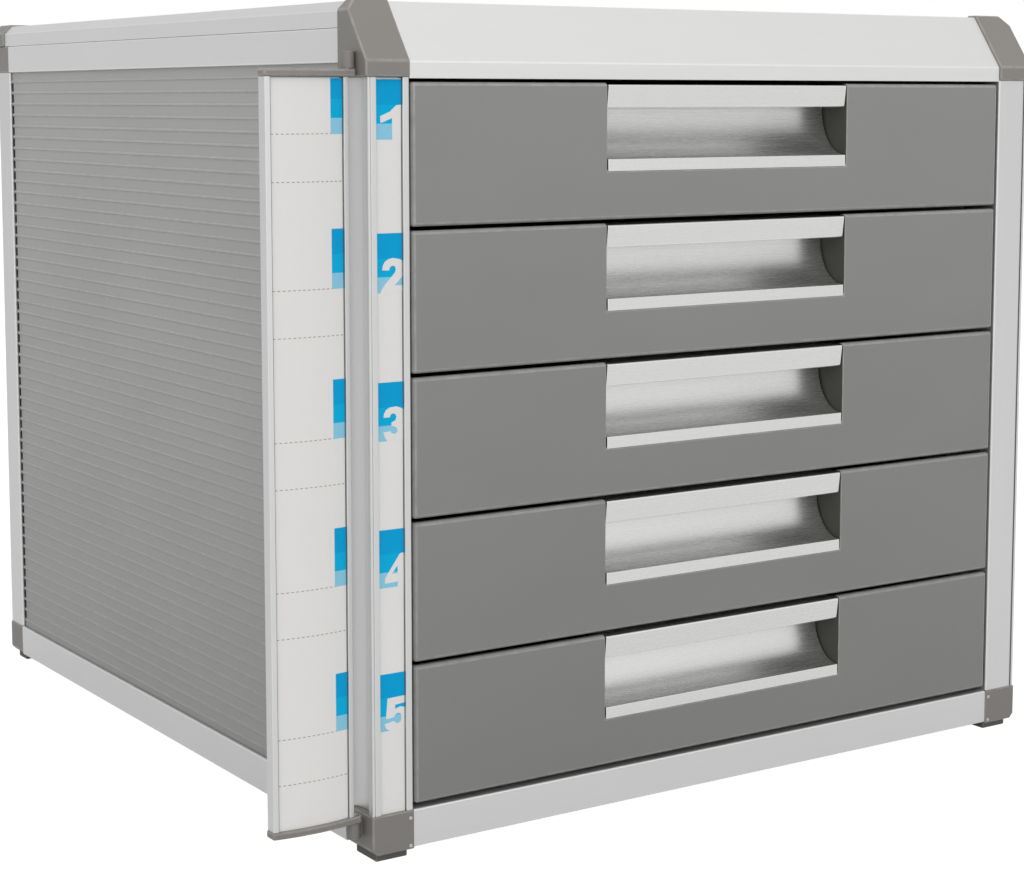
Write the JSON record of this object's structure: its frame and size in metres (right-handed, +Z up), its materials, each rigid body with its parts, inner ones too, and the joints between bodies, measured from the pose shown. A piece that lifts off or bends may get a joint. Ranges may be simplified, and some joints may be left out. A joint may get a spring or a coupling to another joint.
{
  "type": "desktop file cabinet",
  "caption": "Desktop file cabinet for A4 papers: sliding drawers with cove grips in a frame of aluminium sections, and a hinged index panel at its side.",
  "frame": {"origin": "middle of the whole footprint, with the index panel swung open, on the plane that the feet stand on", "axes": "+Z up, +Y from the drawer fronts to the back, +X to the right as seen from the front"},
  "size_m": [0.3356, 0.3398, 0.2864],
  "materials": {
    "section": "satin anodised",
    "bright_section": "pale satin anodised",
    "front_plastic": "fine-grained warm grey",
    "fitting_plastic": "fine-grained warm grey",
    "sheet_plastic": "ribbed, satin grey",
    "tray_plastic": "fine-grained light grey",
    "rubber": "matt black",
    "card": "printed card, white, grey and blue",
    "steel": "bright drawn"
  },
  "bodies": {
    "cabinet": {"post_front_left": "section", "post_front_right": "section", "post_rear_left": "section", "post_rear_right": "section", "bottom_rail_front": "section", "bottom_rail_rear": "section", "bottom_rail_left": "section", "bottom_rail_right": "section", "bottom_corner_front_left": "fitting_plastic", "bottom_corner_front_right": "fitting_plastic", "bottom_corner_rear_left": "fitting_plastic", "bottom_corner_rear_right": "fitting_plastic", "feet": "rubber", "rail_pins": "steel", "crown": "bright_section", "top_rail_left": "section", "top_rail_right": "section", "top_rail_rear": "section", "roof_edge_left": "section", "roof_edge_right": "section", "roof_edge_rear": "section", "top_corner_front_left": "fitting_plastic", "top_corner_front_right": "fitting_plastic", "top_corner_rear_left": "fitting_plastic", "top_corner_rear_right": "fitting_plastic", "roof_cap_left": "fitting_plastic", "roof_cap_right": "fitting_plastic", "roof_sheet": "sheet_plastic", "back_sheet": "sheet_plastic", "base_sheet": "sheet_plastic", "side_sheet_left": "sheet_plastic", "side_sheet_right": "sheet_plastic", "runner_left": "tray_plastic", "runner_right": "tray_plastic", "number_strip": "card"},
    "drawer_1": {"drawer_1_front": "front_plastic", "drawer_1_tray": "tray_plastic", "drawer_1_handle": "bright_section"},
    "drawer_2": {"drawer_2_front": "front_plastic", "drawer_2_tray": "tray_plastic", "drawer_2_handle": "bright_section"},
    "drawer_3": {"drawer_3_front": "front_plastic", "drawer_3_tray": "tray_plastic", "drawer_3_handle": "bright_section"},
    "drawer_4": {"drawer_4_front": "front_plastic", "drawer_4_tray": "tray_plastic", "drawer_4_handle": "bright_section"},
    "drawer_5": {"drawer_5_front": "front_plastic", "drawer_5_tray": "tray_plastic", "drawer_5_handle": "bright_section"},
    "index": {"index_panel": "section", "index_card": "card", "index_arm_top": "fitting_plastic", "index_arm_bottom": "fitting_plastic", "index_pins": "steel"}
  },
  "joints": [
    {"name": "drawer_1_slide", "type": "slide", "parent": "cabinet", "child": "drawer_1", "axis": [0, -1, 0], "range_m": [0, 0.24]},
    {"name": "drawer_2_slide", "type": "slide", "parent": "cabinet", "child": "drawer_2", "axis": [0, -1, 0], "range_m": [0, 0.24]},
    {"name": "drawer_3_slide", "type": "slide", "parent": "cabinet", "child": "drawer_3", "axis": [0, -1, 0], "range_m": [0, 0.24]},
    {"name": "drawer_4_slide", "type": "slide", "parent": "cabinet", "child": "drawer_4", "axis": [0, -1, 0], "range_m": [0, 0.24]},
    {"name": "drawer_5_slide", "type": "slide", "parent": "cabinet", "child": "drawer_5", "axis": [0, -1, 0], "range_m": [0, 0.24]},
    {"name": "index_hinge", "type": "hinge", "parent": "cabinet", "child": "index", "pos_m": [-0.1364, -0.16215, 0.1386], "axis": [0, 0, 1], "range_deg": [-90, 0]}
  ]
}
